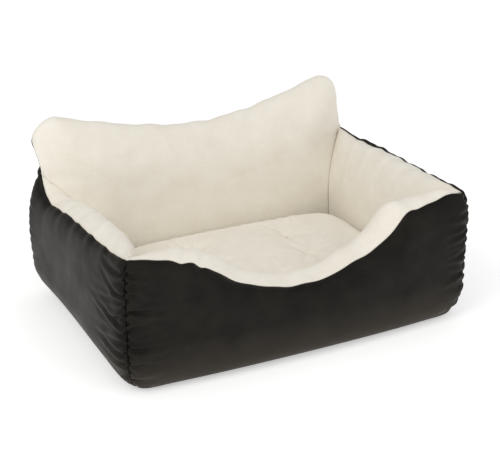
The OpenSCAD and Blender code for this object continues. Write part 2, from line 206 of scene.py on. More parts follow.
def curve(at, knots):
    """A smooth curve through knots in millimetres."""
    xs, ys = np.array(knots, float).T * MM
    slopes = np.gradient(ys, xs)
    i = np.clip(np.searchsorted(xs, at) - 1, 0, len(xs) - 2)
    wide = xs[i + 1] - xs[i]
    t = np.clip((at - xs[i]) / wide, 0, 1)
    ease = t * t * (3 - 2 * t)
    bend = wide * t * (1 - t) * (slopes[i] * (1 - t) - slopes[i + 1] * t)
    return ys[i] + (ys[i + 1] - ys[i]) * ease + bend


def backward(kind, s):
    """-1 at a front corner and 1 at a back corner."""
    return {"front": -np.ones_like(s), "back": np.ones_like(s), "left": -s, "right": s}[kind]


def backness(kind, s):
    """0 at a front corner and 1 at a back corner."""
    return (1 + backward(kind, s)) / 2


def rim(kind, s):
    """Height of a wall's rim seam."""
    wave = RIM_WAVE * (np.sin(23 * s + 1) + 0.6 * np.sin(41 * s + 2)) * (1 - s**4)
    if kind == "front":
        return CORNER_H - curve(s * HALF_W, RIM_DROP[kind]) + wave
    if kind != "back":
        return CORNER_H - curve(backward(kind, s) * HALF_D, RIM_DROP[kind]) + wave
    a = np.abs(s)
    tip_h = EAR_H - EAR_SKEW * s
    bow = BACK_H + (tip_h - BACK_H) * (np.minimum(a, EAR_PLACE) / EAR_PLACE) ** EAR_BOW
    turn = np.clip((a - EAR_PLACE) / (1 - EAR_PLACE), 0, 1)
    tip = tip_h - (1 - EAR_PLACE) * HALF_W * (1 - np.sqrt(1 - turn**2))
    return np.where(a <= EAR_PLACE, bow, tip) + wave


def half_length(kind):
    return HALF_W if kind in ("front", "back") else HALF_D


def edge(kind, s, z):
    """Distance to a wall's free edge, and how much of it is up and how much to the side."""
    below = np.maximum(rim(kind, s) - z, 1e-6)
    if kind != "back":
        return below, np.ones_like(below), np.zeros_like(below)
    along = EAR_SIDE * (1 - np.abs(s)) * HALF_W
    aside = np.maximum(np.hypot(along, np.maximum(0, CORNER_H - z)), 1e-6)
    far = (below**-4.0 + aside**-4.0) ** -0.25
    up, side = (far / below) ** 5, (far / aside) ** 5
    size = np.hypot(up, side)
    above = smooth((z - CORNER_H + CORNER_BAND) / EAR_SIDE_RISE)
    return far, up / size, SIDE_CREST * side / size * above * np.sign(s)


def swell(kind, s):
    """How far a wall stands out of the corner seams' plane."""
    a = np.abs(s)
    out = CORNER_OUT_FRONT + (CORNER_OUT_BACK - CORNER_OUT_FRONT) * backness(kind, s)
    shoulder = quarter((1 - a) * half_length(kind) / SEAM_SHOULDER)
    return SWELL[kind] * (1 - a**2) + SEAM_PINCH * shoulder + out * s**2


def wall_depths(kind, s, z, far):
    """Inward depth of the outer and the inner face."""
    corner = RIM_IN_FRONT + (RIM_IN_BACK - RIM_IN_FRONT) * backness(kind, s)
    seam = corner + (RIM_IN - corner) * (1 - s**4)
    full = WALL_T - FOOT_IN * (1 - np.clip(z / FOOT_H, 0, 1)) ** 2
    flatten_over = EAR_FLAT_OVER * (1 - s**4) + EAR_FLAT_OVER_END * s**4
    bulge = swell(kind, s) * (1 - EAR_FLAT * smooth((z - CORNER_H) / flatten_over))
    at_corner = s**6
    base_round = BASE_ROUND[kind] * (1 - at_corner) + BASE_ROUND["corner"] * at_corner
    base_tuck = BASE_TUCK[kind] * (1 - at_corner) + BASE_TUCK["corner"] * at_corner
    tuck = (1 - quarter((z - WALL_Z) / base_round)) * (base_tuck + bulge)
    tuck += (1 - quarter((z - WALL_Z) / FOLD_UNDER_H)) * (FOLD_UNDER - base_tuck)
    near_corner = at_corner * (1 - smooth((z - CORNER_H) / CORNER_FADE))
    lean_in = 1 - (1 - np.clip(far / CROWN_CORNER, 0, 1)) ** 2
    crown = CROWN_OUT + (CROWN_OUT_BACK - CROWN_OUT) * backness(kind, s) * s**2
    f_out = quarter(far / crown)
    f_in = quarter(far / CROWN_IN) * (1 - near_corner) + lean_in * near_corner
    outer = seam * (1 - f_out) - bulge * f_out + tuck
    inner = seam * (1 - f_in) + full * f_in
    return outer, inner


def to_bed(kind, along, inward, z):
    """A point of a wall's own frame (along, inward, up) in the bed's frame."""
    turned = {
        "front": (along, inward - HALF_D),
        "back": (-along, HALF_D - inward),
        "left": (inward - HALF_W, -along),
        "right": (HALF_W - inward, along),
    }
    x, y = turned[kind]
    x = x - BACK_LEAN * smooth(z / CORNER_H) * ((y + HALF_D) / (2 * HALF_D)) ** 2
    if kind == "back":
        lean = smooth((z - CORNER_H) / EAR_TURN)
        x, y = x - EAR_LEAN * lean, y + EAR_TILT * lean
    return np.stack([x, y, z], axis=-1)


def stations(kind):
    """Places along a wall, closer together beside the corner seams."""
    count = 2 * round(half_length(kind) / STEP) + 1
    t = np.linspace(-1, 1, count)
    even = EVEN_STATIONS_BACK if kind == "back" else EVEN_STATIONS
    return even * t + (1 - even) * np.sin(t * math.pi / 2)


def even_rows(face, count):
    """Places count points evenly along each column of a face."""
    run = np.linalg.norm(np.diff(face, axis=1), axis=-1)
    run = np.concatenate([np.zeros((len(face), 1)), np.cumsum(run, axis=1)], axis=1)
    made = np.empty((len(face), count, 3))
    for column, far, out in zip(face, run, made):
        at = np.linspace(0, far[-1], count)
        for axis in range(3):
            out[:, axis] = np.interp(at, far, column[:, axis])
    return made


def wall_strip(kind):
    """One strip of cloth: up the outer face, over the rim and down the lining."""
    s = stations(kind)
    top = rim(kind, s)
    up_share = 1 - np.linspace(1, 0, FINE_ROWS) ** 2
    z = WALL_Z + (top[:, None] - WALL_Z) * up_share
    place = np.broadcast_to(s[:, None], z.shape)
    far, up, side = edge(kind, place, z)
    level = 1 - smooth((z - CORNER_H + CORNER_BAND) / CREST_RISE)
    roll = (1 - place**6 * level) * far / CREST_AT * np.exp(1 - far / CREST_AT)
    turn = 1 - smooth((z - CORNER_H) / EAR_SPREAD) if kind == "back" else np.ones_like(z)
    hump = np.exp(-((backward(kind, place) - OUTER_CREST_PLACE) / OUTER_CREST_WIDTH) ** 2)
    outer_roll = roll * OUTER_CREST[kind] * (OUTER_CREST_LEAST + (1 - OUTER_CREST_LEAST) * hump)
    faces = []
    for inward, over in zip(wall_depths(kind, place, z, far), (outer_roll, CREST[kind] * roll)):
        drawn_in = inward * turn + RIM_IN_BACK * (1 - turn)
        along = place * (half_length(kind) - drawn_in) + over * side
        faces.append(to_bed(kind, along, inward, z + over * up))
    rows = round(RUN_SHARE * top.max() / STEP)
    outer = even_rows(faces[0], rows + 1)
    lining = even_rows(faces[1][:, ::-1], rows + 1)
    return np.concatenate([outer, lining[:, 1:]], axis=1), s, rows


# ---------------------------------------------------------------- cloth
def hold(points, free, a, b, length, stiffness):
    """Brings the ends a and b of each thread to its length."""
    gap = points[b] - points[a]
    far = np.linalg.norm(gap, axis=-1, keepdims=True)
    move = gap * (stiffness * (far - length) / (far * np.maximum(free[a] + free[b], 1e-6)))
    points[a] += free[a] * move
    points[b] -= free[b] * move


def thread_sets(start, slack_i, slack_j):
    """The threads of a grid, in sets that share no point, with their lengths."""
    ni, nj = start.shape[:2]
    beside = {0: (slice(None), slice(None)), 1: (slice(0, -1), slice(1, None)),
              -1: (slice(1, None), slice(0, -1))}
    sets = []
    for di, dj, stiffness in ((1, 0, 1.0), (0, 1, 1.0), (1, 1, DIAGONAL), (1, -1, DIAGONAL)):
        share_i = 1.0 if dj == 0 else 0.5 * di
        for odd in (0, 1):
            if di:
                a = (slice(odd, ni - 1, 2), beside[dj][0])
                b = (slice(odd + 1, ni, 2), beside[dj][1])
            else:
                a = (slice(None), slice(odd, nj - 1, 2))
                b = (slice(None), slice(odd + 1, nj, 2))
            slack = share_i * slack_i[a] + (1 - share_i) * slack_j[a]
            far = np.linalg.norm(start[b] - start[a], axis=-1, keepdims=True)
            sets.append((a, b, far * (1 + slack[..., None]), stiffness))
    return sets


def normals(points):
    di, dj = np.gradient(points, axis=0), np.gradient(points, axis=1)
    n = np.cross(di, dj)
    return n / np.maximum(np.linalg.norm(n, axis=-1, keepdims=True), 1e-12)


def settle(start, pinned, slack_i, slack_j, ripple, steps, limit, lowest=None):
    """Lets a stuffed grid of cloth find its shape.

    slack is the extra length sewn into the threads along the grid's two directions, ripple
    the first small waves, limit how far a point may go, and lowest what the cloth rests on.
    """
    free = np.where(pinned, 0.0, 1.0)[..., None]
    sets = thread_sets(start, slack_i, slack_j)
    points = start + normals(start) * (ripple[..., None] * free)
    for _ in range(steps):
        points += normals(points) * (AIR * free)
        for a, b, length, stiffness in sets * SWEEPS:
            hold(points, free, a, b, length, stiffness)
        moved = points - start
        for axis in (0, 1):
            curl = np.zeros_like(moved)
            m, c = np.moveaxis(moved, axis, 0), np.moveaxis(curl, axis, 0)
            c[1:-1] = m[:-2] + m[2:] - 2 * m[1:-1]
            m[1:-1] -= BEND * np.moveaxis(free, axis, 0)[1:-1] * (c[:-2] + c[2:] - 2 * c[1:-1])
        far = np.linalg.norm(moved, axis=-1, keepdims=True)
        moved *= limit / np.maximum(far, limit)
        points = start + moved
        if lowest is not None:
            np.maximum(points[..., 2], lowest, out=points[..., 2])
    return points


def streaks(rng, across, along, count, reach):
    """Waves that run away from a seam: each has its own place, width, depth and length."""
    field = np.zeros_like(across)
    for _ in range(count):
        place = rng.uniform(along.min(), along.max())
        width = rng.uniform(*STREAK_WIDTH) * MM
        length = reach * rng.uniform(*STREAK_LENGTH)
        lean = rng.uniform(-STREAK_LEAN, STREAK_LEAN)
        depth = rng.uniform(-1, 1)
        centre = place + lean * across
        field += depth * np.exp(-((along - centre) / width) ** 2 - across / length)
    return field


# ---------------------------------------------------------------- meshes
def new_object(name, points, faces, finish):
    mesh = bpy.data.meshes.new(name)
    mesh.from_pydata([tuple(p) for p in points], [], faces)
    mesh.update()
    mesh.shade_smooth()
    mesh.materials.append(finish)
    made = bpy.data.objects.new(name, mesh)
    bpy.context.scene.collection.objects.link(made)
    return made


def grid_quads(ni, nj, first=0):
    i, j = np.meshgrid(np.arange(ni - 1), np.arange(nj - 1), indexing="ij")
    a = (first + i * nj + j).ravel()
    return np.stack([a, a + nj, a + nj + 1, a + 1], axis=1).tolist()


def shell(upper, lower):
    """Points and quads of a closed solid between two grids of the same size."""
    ni, nj = upper.shape[:2]
    n = ni * nj
    border = [i * nj for i in range(ni)] + [(ni - 1) * nj + j for j in range(1, nj)]
    border += [i * nj + nj - 1 for i in range(ni - 2, -1, -1)] + list(range(nj - 2, 0, -1))
    quads = grid_quads(ni, nj) + [quad[::-1] for quad in grid_quads(ni, nj, n)]
    quads += [[a, a + n, b + n, b] for a, b in zip(border, border[1:] + border[:1])]
    return np.concatenate([upper.reshape(-1, 3), lower.reshape(-1, 3)]), quads


def cloth_piece(name, grid, thickness, finish, edge_share=0.25, edge_width=10 * MM):
    """A grid of points as cloth: thick inside its normals, and thin along its sewn edges."""
    ni, nj = grid.shape[:2]
    steps_i = np.linalg.norm(np.diff(grid, axis=0), axis=-1)
    steps_j = np.linalg.norm(np.diff(grid, axis=1), axis=-1)
    run_i = np.concatenate([np.zeros((1, nj)), np.cumsum(steps_i, axis=0)])
    run_j = np.concatenate([np.zeros((ni, 1)), np.cumsum(steps_j, axis=1)], axis=1)
    near = np.minimum(np.minimum(run_i, run_i[-1:] - run_i),
                      np.minimum(run_j, run_j[:, -1:] - run_j))
    depth = thickness * (edge_share + (1 - edge_share) * smooth(near / edge_width))
    return new_object(name, *shell(grid, grid - normals(grid) * depth[..., None]), finish)


def ring_faces(first, rings, sides):
    """Quads between rings of points, with a cap at each end."""
    faces = []
    for ring in range(first, first + (rings - 1) * sides, sides):
        for j in range(sides):
            a, b = ring + j, ring + (j + 1) % sides
            faces.append((a, b, b + sides, a + sides))
    faces.append(tuple(first + j for j in reversed(range(sides))))
    faces.append(tuple(first + (rings - 1) * sides + j for j in range(sides)))
    return faces


# ---------------------------------------------------------------- materials
def material(name, build):
    made = bpy.data.materials.new(name)
    made.use_nodes = True
    nodes, links = made.node_tree.nodes, made.node_tree.links
    build(nodes, links, nodes["Principled BSDF"])
    return made


def noise(nodes, links, scale, detail=4.0, rough=0.55, stretch=None):
    """A noise texture in the piece's own coordinates."""
    place = nodes.new("ShaderNodeTexCoord")
    made = nodes.new("ShaderNodeTexNoise")
    made.inputs["Scale"].default_value = scale
    made.inputs["Detail"].default_value = detail
    made.inputs["Roughness"].default_value = rough
    source = place.outputs["Object"]
    if stretch is not None:
        mapping = nodes.new("ShaderNodeMapping")
        mapping.inputs["Scale"].default_value = stretch
        links.new(source, mapping.inputs["Vector"])
        source = mapping.outputs["Vector"]
    links.new(source, made.inputs["Vector"])
    return made.outputs["Fac"]


def ramp(nodes, links, value, low, high, dark, light):
    made = nodes.new("ShaderNodeValToRGB")
    first, last = made.color_ramp.elements
    first.position, last.position = low, high
    first.color, last.color = (*dark, 1), (*light, 1)
    links.new(value, made.inputs["Fac"])
    return made.outputs["Color"]


def mottle(nodes, links, socket, scale, detail, dark, light, rough=0.55):
    """Fills a socket with a mottling between two colours, or two levels."""
    if isinstance(dark, float):
        dark, light = (dark,) * 3, (light,) * 3
    value = noise(nodes, links, scale, detail, rough)
    links.new(ramp(nodes, links, value, 0.3, 0.7, dark, light), socket)


def bump(nodes, links, value, strength, distance, under=None):
    made = nodes.new("ShaderNodeBump")
    made.inputs["Strength"].default_value = strength
    made.inputs["Distance"].default_value = distance
    links.new(value, made.inputs["Height"])
    if under is not None:
        links.new(under, made.inputs["Normal"])
    return made.outputs["Normal"]


def soft_shine(shader, sheen, roughness, tint):
    shader.inputs["Sheen Weight"].default_value = sheen
    shader.inputs["Sheen Roughness"].default_value = roughness
    shader.inputs["Sheen Tint"].default_value = (*tint, 1)
    shader.inputs["Specular IOR Level"].default_value = 0.1


def velour(nodes, links, shader):
    """Near-black silky microfibre with a short pile that shines softly; its colour is painted
    paler towards its foot, standing in for light thrown up by the white floor.
    """
    place = nodes.new("ShaderNodeTexCoord")
    parts = nodes.new("ShaderNodeSeparateXYZ")
    links.new(place.outputs["Object"], parts.inputs["Vector"])
    # Painted light: the base colour grows paler over the lowest 80 mm, in place of the light the
    # white floor throws onto the walls' foot.
    foot = nodes.new("ShaderNodeMapRange")
    for socket, value in (("From Min", 0.0), ("From Max", 0.08), ("To Min", 0.8), ("To Max", 0.0)):
        foot.inputs[socket].default_value = value
    links.new(parts.outputs["Z"], foot.inputs["Value"])
    # Random mottling, mixed with that painted floor light.
    mottle_and_painted_floor_light = nodes.new("ShaderNodeMath")
    mottle_and_painted_floor_light.operation = "MULTIPLY_ADD"
    links.new(noise(nodes, links, 22, 5, 0.6), mottle_and_painted_floor_light.inputs[0])
    mottle_and_painted_floor_light.inputs[1].default_value = 0.45
    links.new(foot.outputs["Result"], mottle_and_painted_floor_light.inputs[2])
    links.new(ramp(nodes, links, mottle_and_painted_floor_light.outputs["Value"], 0.06, 1.0,
                   (0.0036, 0.0028, 0.0021), (0.046, 0.040, 0.032)), shader.inputs["Base Color"])
    mottle(nodes, links, shader.inputs["Roughness"], 14, 3, 0.42, 0.58)
    soft_shine(shader, 0.045, 0.38, (0.62, 0.56, 0.49))
    fibres = bump(nodes, links, noise(nodes, links, 1500, 2), 0.25, 0.4 * MM)
    links.new(bump(nodes, links, noise(nodes, links, 120, 3), 0.15, 1.2 * MM, fibres),
              shader.inputs["Normal"])


def plush(nodes, links, shader):
    """Short cream pile: small clumps over a soft mottling."""
    clumps = noise(nodes, links, 30, 5, 0.6)
    links.new(ramp(nodes, links, clumps, 0.25, 0.75, (0.862, 0.807, 0.708), (0.922, 0.883, 0.794)),
              shader.inputs["Base Color"])
    shader.inputs["Roughness"].default_value = 0.95
    soft_shine(shader, 0.30, 0.6, (1.0, 0.97, 0.92))
    tips = bump(nodes, links, noise(nodes, links, 900, 2, 0.7), 0.5, 0.8 * MM)
    links.new(bump(nodes, links, noise(nodes, links, 230, 4, 0.6), 0.5, 1.6 * MM, tips),
              shader.inputs["Normal"])


def fibre(nodes, links, shader):
    """Loose white polyester fibre."""
    mottle(nodes, links, shader.inputs["Base Color"], 60, 6, 0.82, 0.95, 0.7)
    shader.inputs["Roughness"].default_value = 1.0
    links.new(bump(nodes, links, noise(nodes, links, 400, 6, 0.7, (1, 1, 0.3)), 0.6, 1.5 * MM),
              shader.inputs["Normal"])


def woven(nodes, links, shader):
    """Thin black non-slip base cloth with a fine weave."""
    place = nodes.new("ShaderNodeTexCoord")
    weave = None
    for turn in (0, math.pi / 2):
        mapping = nodes.new("ShaderNodeMapping")
        mapping.inputs["Rotation"].default_value = (0, 0, turn)
        links.new(place.outputs["Object"], mapping.inputs["Vector"])
        wave = nodes.new("ShaderNodeTexWave")
        wave.inputs["Scale"].default_value = 260
        links.new(mapping.outputs["Vector"], wave.inputs["Vector"])
        weave = bump(nodes, links, wave.outputs["Fac"], 0.3, 0.3 * MM, weave)
    mottle(nodes, links, shader.inputs["Base Color"], 25, 4, 0.012, 0.024)
    shader.inputs["Roughness"].default_value = 0.8
    links.new(weave, shader.inputs["Normal"])


def rubber(nodes, links, shader):
    """Small non-slip dots."""
    mottle(nodes, links, shader.inputs["Base Color"], 300, 3, 0.03, 0.05)
    shader.inputs["Roughness"].default_value = 0.55
    links.new(bump(nodes, links, noise(nodes, links, 900, 2), 0.2, 0.2 * MM),
              shader.inputs["Normal"])


def thread_finish(dark, light):
    """Twisted thread or ribbon between two colours, or two levels."""
    def build(nodes, links, shader):
        mottle(nodes, links, shader.inputs["Base Color"], 500, 3, dark, light)
        shader.inputs["Roughness"].default_value = 0.85
        links.new(bump(nodes, links, noise(nodes, links, 2500, 2), 0.4, 0.15 * MM),
                  shader.inputs["Normal"])
    return build


def metal(nodes, links, shader):
    """Grey nickel plate, a little worn."""
    mottle(nodes, links, shader.inputs["Base Color"], 250, 4, (0.42, 0.42, 0.43), (0.6, 0.6, 0.61))
    shader.inputs["Metallic"].default_value = 1.0
    mottle(nodes, links, shader.inputs["Roughness"], 500, 4, 0.22, 0.4)
    links.new(bump(nodes, links, noise(nodes, links, 900, 3), 0.12, 0.1 * MM),
              shader.inputs["Normal"])


def floor_finish(nodes, links, shader):
    mottle(nodes, links, shader.inputs["Base Color"], 3, 2, 0.90, 0.92)
    shader.inputs["Roughness"].default_value = 0.9
    shader.inputs["Emission Color"].default_value = (1, 1, 1, 1)
    shader.inputs["Emission Strength"].default_value = FLOOR_GLOW


VELOUR = material("outer_velour", velour)
PLUSH = material("cream_plush", plush)
FIBRE = material("fibre_filling", fibre)
BASE_CLOTH = material("base_cloth", woven)
RUBBER = material("base_dots", rubber)
DARK_THREAD = material("dark_thread", thread_finish(0.003, 0.006))
CREAM_THREAD = material("cream_thread", thread_finish((0.62, 0.56, 0.46), (0.78, 0.73, 0.64)))
TAPE = material("zip_tape", thread_finish(0.010, 0.022))
METAL = material("zip_metal", metal)


# ---------------------------------------------------------------- pieces on their bodies, in place of the frame's parts
def declare(piece, body, slot_name, *nodes):
    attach(piece, body)
    if nodes:
        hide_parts(*nodes)


# ---------------------------------------------------------------- walls
RNG = np.random.default_rng(702)


def corner_puckers(kind, s):
    """Depth, spare length and reach of the puckers at the corner of half a wall."""
    if backward(kind, s).mean() > 0:
        return PUCKERS["back_corner"]
    if kind == "front":
        return PUCKERS["front_right_end" if s.mean() > 0 else "front_left_end"]
    return PUCKERS[kind]


def settled_wall(kind):
    """A wall's strip of cloth before and after it settles, and the row of its rim seam."""
    strip, s, rows = wall_strip(kind)
    ni, nj = strip.shape[:2]
    steps_j = np.linalg.norm(np.diff(strip, axis=1), axis=-1)
    height = np.concatenate([np.zeros((ni, 1)), np.cumsum(steps_j, axis=1)], axis=1)
    to_rim = np.abs(height - height[:, rows:rows + 1])
    to_corner = np.broadcast_to(((1 - np.abs(s)) * half_length(kind))[:, None], (ni, nj))
    to_base = np.minimum(height, height[:, -1:] - height)
    outer = (np.arange(nj) <= rows)[None, :]
    amount = np.where(outer, 1.0, LINING_SLACK)
    gather = (0.25 + 0.75 * s**2) * (0.6 + 0.4 * np.sin(17 * s + 2) * np.sin(29 * s))
    slack_i = amount * (RIM_GATHER * gather[:, None] * np.exp(-to_rim / RIM_GATHER_REACH)
                        + BASE_GATHER * np.exp(-to_base / BASE_GATHER_REACH))
    slack_j = np.zeros((ni, nj))
    ripple = np.zeros((ni, nj))
    for half in (np.where(s < 0)[0], np.where(s >= 0)[0]):
        depth, slack, reach = corner_puckers(kind, s[half])
        ripple[half] += depth * streaks(RNG, to_corner[half], height[half], CORNER_STREAKS, reach)
        slack_j[half] = (amount * slack * np.exp(-to_corner / reach))[half]
    along = np.broadcast_to((s * half_length(kind))[:, None], (ni, nj))
    ripple += RIM_RIPPLE * streaks(RNG, to_rim, along, RIM_STREAKS, RIM_REACH)
    ripple *= np.where(outer, 1.0, LINING_RIPPLE)
    pinned = np.zeros((ni, nj), bool)
    pinned[[0, -1]] = True
    pinned[:, [0, rows, -1]] = True
    cloth = settle(strip, pinned, slack_i, slack_j, ripple, STEPS, LIMIT, WALL_Z)
    return strip, cloth, rows


def wall_stuffing(name, cloth, rows):
    """The filling of a wall: the inside of its strip of cloth, closed below and at both ends."""
    calm = cloth.copy()
    for _ in range(8):
        calm[1:-1] += 0.5 * (0.5 * (calm[:-2] + calm[2:]) - calm[1:-1])
        calm[:, 1:-1] += 0.5 * (0.5 * (calm[:, :-2] + calm[:, 2:]) - calm[:, 1:-1])
    column, row = np.arange(cloth.shape[0]), np.arange(cloth.shape[1])
    end = np.minimum(column, column[::-1]) * STEP
    top = np.abs(row - rows) * STEP
    depth = np.where(row <= rows, OUTER_T, PLUSH_T)[None, :] + FILL_GAP
    depth = depth + FILL_END_GAP * np.exp(-end / FILL_GAP_REACH)[:, None]
    depth = depth + FILL_TOP_GAP * np.exp(-top / FILL_GAP_REACH)
    inside = (calm - normals(calm) * depth[..., None])[4:-4:2, ::2]
    ni, nj = inside.shape[:2]
    quads = grid_quads(ni, nj)
    quads += [[a, a + nj - 1, a + 2 * nj - 1, a + nj] for a in range(0, (ni - 1) * nj, nj)]
    for first, flip in ((0, False), ((ni - 1) * nj, True)):
        for j in range(nj // 2 - 1):
            quad = [first + j, first + j + 1, first + nj - 2 - j, first + nj - 1 - j]
            quads.append(quad[::-1] if flip else quad)
    return new_object(name, inside.reshape(-1, 3), quads, FIBRE)


def make_wall(kind):
    strip, cloth, rows = settled_wall(kind)
    outer = cloth_piece(f"{kind}_outer_cover", cloth[:, :rows + 1], OUTER_T, VELOUR)
    lining = cloth_piece(f"{kind}_plush_lining", cloth[:, rows:], PLUSH_T, PLUSH)
    filling = wall_stuffing(f"{kind}_wall_stuffing", cloth, rows)
    declare(outer, "bed", "outer_velour", f"{kind}_outer_panel")
    declare(lining, "bed", "cream_plush", f"{kind}_lining")
    declare(filling, "bed", "fibre_filling", f"{kind}_filling")
    return cloth, rows


# ---------------------------------------------------------------- floor of the bed
def squircle(count_x, count_y, power):
    """A grid over a rounded rectangle of half sizes 1, with each point's share of the way out."""
    u, v = np.meshgrid(np.linspace(-1, 1, count_x), np.linspace(-1, 1, count_y), indexing="ij")
    out = np.maximum(np.abs(u), np.abs(v))
    round_out = (np.abs(u) ** power + np.abs(v) ** power) ** (1 / power)
    pull = 1 - (1 - out / np.maximum(round_out, 1e-9)) * out**2
    return u * pull, v * pull, out


def quilted(low, high, z, dip):
    """A rectangle of cloth whose surface dips along sewn lines."""
    u, v, _ = squircle(150, 92, 26)
    x, y = u * (high.x - low.x) / 2, v * (high.y - low.y) / 2
    line = np.minimum(np.abs((x / QUILT + 0.5) % 1 - 0.5), np.abs((y / QUILT) % 1 - 0.5)) * QUILT
    edge_far = np.minimum(high.x - np.abs(x), high.y - np.abs(y))
    level = z - dip * np.exp(-((line / QUILT_WIDTH) ** 2))
    level -= 0.6 * dip * np.exp(-edge_far / (5 * MM))
    level += 0.3 * MM * np.sin(x * 61 + 2 * np.sin(y * 47)) * np.sin(y * 73)
    return np.stack([x, y, level], axis=-1)


def base_surface():
    """The base cloth's upper side: flat, with slight waves along its edge."""
    u, v, out = squircle(140, 92, 30)
    x, y = u * BASE_BOX[1].x, v * BASE_BOX[1].y
    z = BASE_BOX[1].z - 0.25 * MM * (1 + np.sin(x * 53 + 3 * np.sin(y * 31)) * out**2)
    return np.stack([x, y, z], axis=-1)


def grip_dots():
    """Rows of small rounded dots under the base cloth."""
    points, faces = [], []
    turns = np.linspace(0, 2 * math.pi, DOT_SIDES, endpoint=False)
    for x in np.arange(-DOT_REACH_X, DOT_REACH_X + MM, DOT_PITCH):
        for y in np.arange(-DOT_REACH_Y, DOT_REACH_Y + MM, DOT_PITCH):
            # turned over, because the rings run downwards
            faces += [face[::-1] for face in ring_faces(len(points), len(DOT_RINGS), DOT_SIDES)]
            for radius, height in DOT_RINGS:
                points += [(x + radius * MM * math.cos(turn), y + radius * MM * math.sin(turn),
                            height * MM) for turn in turns]
    return new_object("base_grip_dots", points, faces, RUBBER)


def make_floor():
    """The floor's plush lining and wadding, and the base cloth with its dots.

    Returns the base cloth's grid.
    """
    lining_grid = quilted(*WELL_BOX, WELL_BOX[1].z - 0.4 * MM, LINING_DIP)
    lining = cloth_piece("floor_plush", lining_grid, FLOOR_LINING_T, PLUSH)
    top = quilted(*PAD_BOX, PAD_BOX[1].z, PAD_DIP)[::2, ::2]
    low = top.copy()
    low[..., 2] = PAD_BOX[0].z + 0.2 * MM
    pad = new_object("floor_wadding", *shell(top, low), FIBRE)
    base_grid = base_surface()
    cloth = cloth_piece("base_cloth", base_grid, BASE_T, BASE_CLOTH, edge_share=0.8)
    dots = grip_dots()
    declare(lining, "bed", "cream_plush", "floor_lining")
    declare(pad, "bed", "floor_wadding", "base_pad")
    declare(cloth, "bed", "base_cloth", "base_sheet")
    declare(dots, "bed", "base_cloth")
    return base_grid


# ---------------------------------------------------------------- cushion
def tuft_dips(x, y, dip):
    """How far the tufts pull the cover in, and the creases that run out from them."""
    sunk, creases = np.zeros_like(x), np.zeros_like(x)
    for k, (tx, ty) in enumerate(TUFTS):
        far, turn = np.hypot(x - tx, y - ty), np.arctan2(y - ty, x - tx)
        sunk += dip * (0.55 * np.exp(-far / (11 * MM)) + 0.45 * np.exp(-(far / (34 * MM)) ** 2))
        spokes = np.cos(5 * turn + 2.1 * k) + 0.6 * np.cos(8 * turn + 1.3 * k)
        spokes = spokes + 0.4 * np.cos(13 * turn)
        creases += spokes * np.exp(-far / SPOKE_REACH) * smooth(far / (6 * MM))
    return sunk, creases


def cushion_side(top):
    """One side of the cushion's cover before and after it settles."""
    half_x, half_y, power = CUSHION_HALF_X, CUSHION_HALF_Y, CUSHION_POWER
    u, v, out = squircle(round(2 * half_x / CUSHION_STEP) + 1,
                         round(2 * half_y / CUSHION_STEP) + 1, power)
    x, y = u * half_x, v * half_y + CUSHION_Y
    round_out = np.maximum((np.abs(u) ** power + np.abs(v) ** power) ** (1 / power), 1e-6)
    slope = np.hypot((u / round_out) ** (power - 1) / half_x,
                     (v / round_out) ** (power - 1) / half_y)
    edge_far = np.where(out >= 1, 0, np.maximum(1 - round_out, 0) / slope)
    lowest = CUSHION_LOW.z + BOTTOM_CLEAR
    sunk, creases = tuft_dips(x, y, TUFT_DIP if top else BOTTOM_DIP * TUFT_DIP)
    if top:
        dome = 1 - CROWN_DOME + CROWN_DOME * (1 - u**2) * (1 - v**2)
        swollen = quarter(edge_far / SHOULDER_TOP) * dome
        z = SEAM_Z + (CROWN_Z - SEAM_Z) * swollen * (1 - CORNER_SINK * (u * v) ** 4) - sunk
    else:
        z = SEAM_Z - (SEAM_Z - lowest) * quarter(edge_far / SHOULDER_BOTTOM) + sunk
    start = np.stack([x, y, z], axis=-1)
    along = np.arctan2(v, u) * half_x * 0.8
    ripple = CUSHION_RIPPLE * streaks(RNG, edge_far, along, CUSHION_STREAKS, CUSHION_REACH)
    ripple = ripple + SPOKE_DEPTH * creases
    tuft_far = np.min([np.hypot(x - tx, y - ty) for tx, ty in TUFTS], axis=0)
    slack = 0.06 * np.exp(-edge_far / CUSHION_REACH) + 0.05 * np.exp(-tuft_far / (32 * MM)) + 0.008
    pinned = (out >= 1) | (tuft_far < TUFT_HELD)
    if top:
        return start, settle(start, pinned, slack, slack, ripple, CUSHION_STEPS, CUSHION_LIMIT)
    # wound the other way round, so that its normals point down
    start, pinned, slack, ripple = (a[:, ::-1] for a in (start, pinned, slack, ripple))
    return start, settle(start, pinned, slack, slack, BOTTOM_RIPPLE * ripple, CUSHION_STEPS,
                         CUSHION_LIMIT, lowest)


def make_cushion():
    """The cushion's two covers and its filling. Returns the settled covers."""
    top_start, top = cushion_side(True)
    bottom_start, bottom = cushion_side(False)
    upper = (top - normals(top) * (PLUSH_T + FILL_GAP))[2:-2:2, 2:-2:2]
    lower = (bottom - normals(bottom) * (OUTER_T + FILL_GAP))[:, ::-1][2:-2:2, 2:-2:2]
    filling = new_object("cushion_stuffing", *shell(upper, lower), FIBRE)
    cover = cloth_piece("cushion_plush_top", top, PLUSH_T, PLUSH)
    underside = cloth_piece("cushion_underside", bottom, OUTER_T, VELOUR)
    declare(filling, "cushion", "fibre_filling", "cushion_filling")
    declare(cover, "cushion", "cream_plush", "cushion_top_cover")
    declare(underside, "cushion", "outer_velour", "cushion_bottom_cover")
    return top, bottom


# ---------------------------------------------------------------- stitches
def along_path(path, spacing):
    """Points at an even spacing along a path."""
    run = np.concatenate([[0], np.cumsum(np.linalg.norm(np.diff(path, axis=0), axis=1))])
    at = np.arange(0, run[-1], spacing)
    return np.stack([np.interp(at, run, path[:, axis]) for axis in range(3)], axis=1)


def border_line(grid):
    """The closed line round a grid."""
    return np.concatenate([grid[:, 0], grid[-1, 1:], grid[-2::-1, -1], grid[0, -2::-1]])


